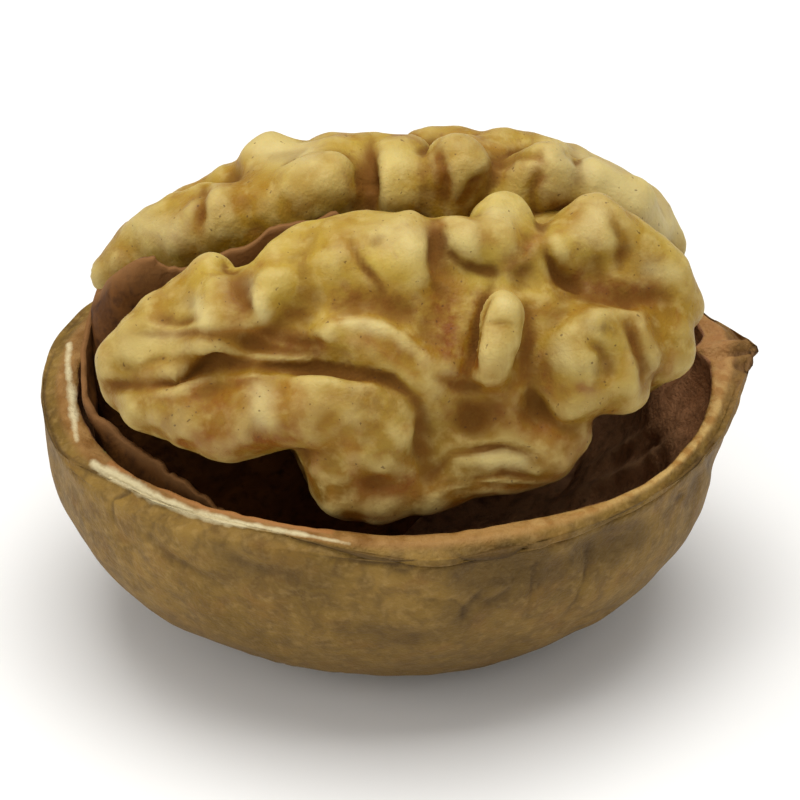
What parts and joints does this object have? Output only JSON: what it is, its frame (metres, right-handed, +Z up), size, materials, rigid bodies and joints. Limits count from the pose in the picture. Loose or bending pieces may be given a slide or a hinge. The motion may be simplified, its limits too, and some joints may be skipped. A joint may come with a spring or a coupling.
{
  "type": "half-open walnut",
  "caption": "Walnut opened along its seam: half a shell as a bowl, the folded kernel lying in it, papery partition between the lobes.",
  "frame": {"origin": "middle of the flat spot on the round bottom of the shell, on which the walnut rests", "axes": "+Z up, +X along the nut towards the pointed end of the shell, +Y towards the rear lobe of the kernel"},
  "size_m": [0.0413, 0.0352, 0.0295],
  "materials": {
    "shell": "matte, dry and woody, with shallow dents",
    "kernel": "thin skin with a slight sheen, pale tan, browner in the creases",
    "partition": "matte brown papery sheet"
  },
  "bodies": {
    "root": {"shell": "shell", "kernel": "kernel", "partition": "partition"}
  },
  "joints": []
}
